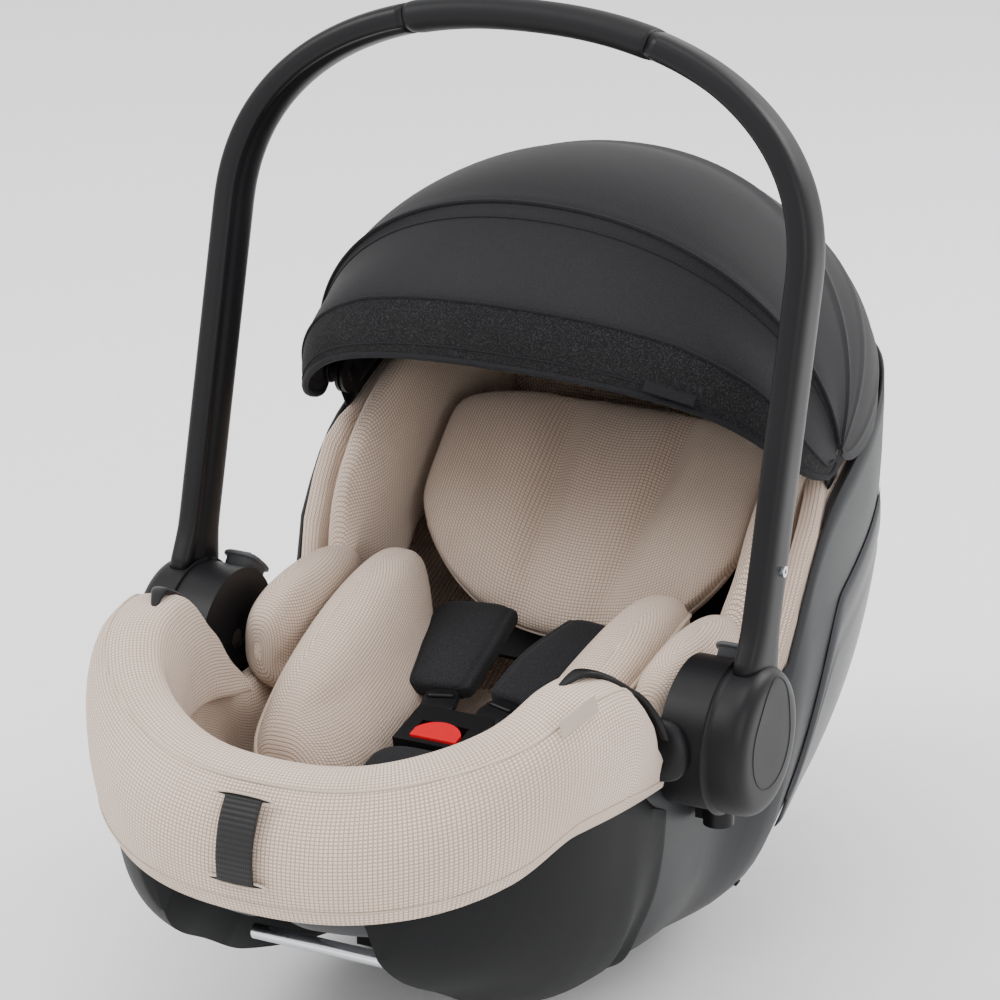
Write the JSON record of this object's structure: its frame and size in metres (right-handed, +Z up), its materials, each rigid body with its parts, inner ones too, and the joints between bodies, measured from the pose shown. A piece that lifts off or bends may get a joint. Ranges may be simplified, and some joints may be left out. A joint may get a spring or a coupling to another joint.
{
  "type": "infant car seat",
  "caption": "Rear-facing infant car seat shell with a turning carry handle, folding sun canopy, padded knit cover, sliding headrest and three-point harness.",
  "frame": {"origin": "on the ground, under the centre of the seat's bounding box", "axes": "+Z up, +Y towards the head end, +X across the seat (to the right when seen from the foot end)"},
  "size_m": [0.442, 0.6524, 0.6375],
  "materials": {
    "shell_plastic": "satin",
    "foam": "matte",
    "panel_plastic": "satin",
    "black_plastic": "satin",
    "grip_plastic": "satin",
    "button_plastic": "satin",
    "red_plastic": "gloss",
    "steel": "polished",
    "knit_fabric": "matte",
    "pad_fabric": "matte",
    "webbing": "matte",
    "canopy_fabric": "matte",
    "visor_fabric": "matte"
  },
  "bodies": {
    "shell": {"outer_shell": "shell_plastic", "foam_liner": "foam", "side_panel_left": "black_plastic", "side_panel_right": "black_plastic", "back_panel_left": "panel_plastic", "back_panel_right": "panel_plastic", "skid_left": "black_plastic", "skid_right": "black_plastic", "belly_tray": "black_plastic", "front_bar": "steel", "rear_bar": "steel", "rear_belt_hook": "black_plastic", "adapter_socket_left": "black_plastic", "adapter_socket_right": "black_plastic", "belt_guide_left": "black_plastic", "belt_guide_right": "black_plastic", "rim_trim_left": "black_plastic", "rim_trim_right": "black_plastic", "hub_left": "black_plastic", "hub_right": "black_plastic", "lock_springs": "steel", "pivot_pin_left": "steel", "pivot_pin_right": "steel", "front_cover": "knit_fabric", "seat_liner": "knit_fabric", "wing_left": "knit_fabric", "wing_right": "knit_fabric", "bolster_left": "knit_fabric", "bolster_right": "knit_fabric", "insert_base": "knit_fabric", "insert_left": "knit_fabric", "insert_right": "knit_fabric", "crotch_pad": "pad_fabric", "buckle_body": "black_plastic", "buckle_tongues": "black_plastic", "shoulder_pad_left": "pad_fabric", "shoulder_pad_right": "pad_fabric", "harness_straps": "webbing", "adjuster_strap": "webbing", "canopy_rear_panel": "canopy_fabric", "canopy_skirt": "canopy_fabric", "canopy_pivots": "black_plastic"},
    "handle": {"handle_leg_left": "black_plastic", "handle_leg_right": "black_plastic", "handle_grip": "grip_plastic", "handle_cap_left": "black_plastic", "handle_cap_right": "black_plastic", "handle_screws": "steel"},
    "lock_ring_left": {"lock_ring_left": "steel"},
    "lock_ring_right": {"lock_ring_right": "steel"},
    "release_button_left": {"release_button_left": "button_plastic"},
    "release_button_right": {"release_button_right": "button_plastic"},
    "buckle_button": {"buckle_button": "red_plastic"},
    "headrest": {"headrest_shell": "shell_plastic", "headrest_cushion": "knit_fabric"},
    "canopy_mid": {"mid_bow": "black_plastic", "canopy_mid_panel": "canopy_fabric"},
    "canopy_front": {"front_bow": "black_plastic", "canopy_front_panel": "canopy_fabric", "canopy_visor": "visor_fabric"}
  },
  "joints": [
    {"name": "handle_turn", "type": "hinge", "parent": "shell", "child": "handle", "pos_m": [0, -0.04293, 0.21], "axis": [-1, 0, 0], "range_deg": [0, 100]},
    {"name": "lock_ring_left_slide", "type": "slide", "parent": "shell", "child": "lock_ring_left", "axis": [1, 0, 0], "range_m": [0, 0.004], "stiffness_N_per_m": 400, "springref_m": -0.01, "deforming": ["lock_springs"]},
    {"name": "lock_ring_right_slide", "type": "slide", "parent": "shell", "child": "lock_ring_right", "axis": [-1, 0, 0], "range_m": [0, 0.004], "stiffness_N_per_m": 400, "springref_m": -0.01},
    {"name": "release_button_left_press", "type": "slide", "parent": "shell", "child": "release_button_left", "axis": [0, -0.6428, -0.766], "range_m": [0, 0.005]},
    {"name": "release_button_right_press", "type": "slide", "parent": "shell", "child": "release_button_right", "axis": [0, -0.6428, -0.766], "range_m": [0, 0.005]},
    {"name": "buckle_button_press", "type": "slide", "parent": "shell", "child": "buckle_button", "axis": [0, 0.2079, -0.9781], "range_m": [0, 0.0035], "stiffness_N_per_m": 600, "springref_m": -0.01},
    {"name": "headrest_slide", "type": "slide", "parent": "shell", "child": "headrest", "axis": [0, 0.7071, 0.7071], "range_m": [0, 0.04]},
    {"name": "canopy_mid_fold", "type": "hinge", "parent": "shell", "child": "canopy_mid", "pos_m": [0, 0.12707, 0.345], "axis": [-1, 0, 0], "range_deg": [0, 29]},
    {"name": "canopy_front_fold", "type": "hinge", "parent": "canopy_mid", "child": "canopy_front", "pos_m": [0, 0.12707, 0.345], "axis": [-1, 0, 0], "range_deg": [0, 33]}
  ],
  "couplings": [
    {"joint": "release_button_left_press", "follows": "lock_ring_left_slide", "ratio": 1.25},
    {"joint": "release_button_right_press", "follows": "lock_ring_right_slide", "ratio": 1.25},
    {"joint": "canopy_front_fold", "follows": "canopy_mid_fold", "ratio": 1.137}
  ]
}
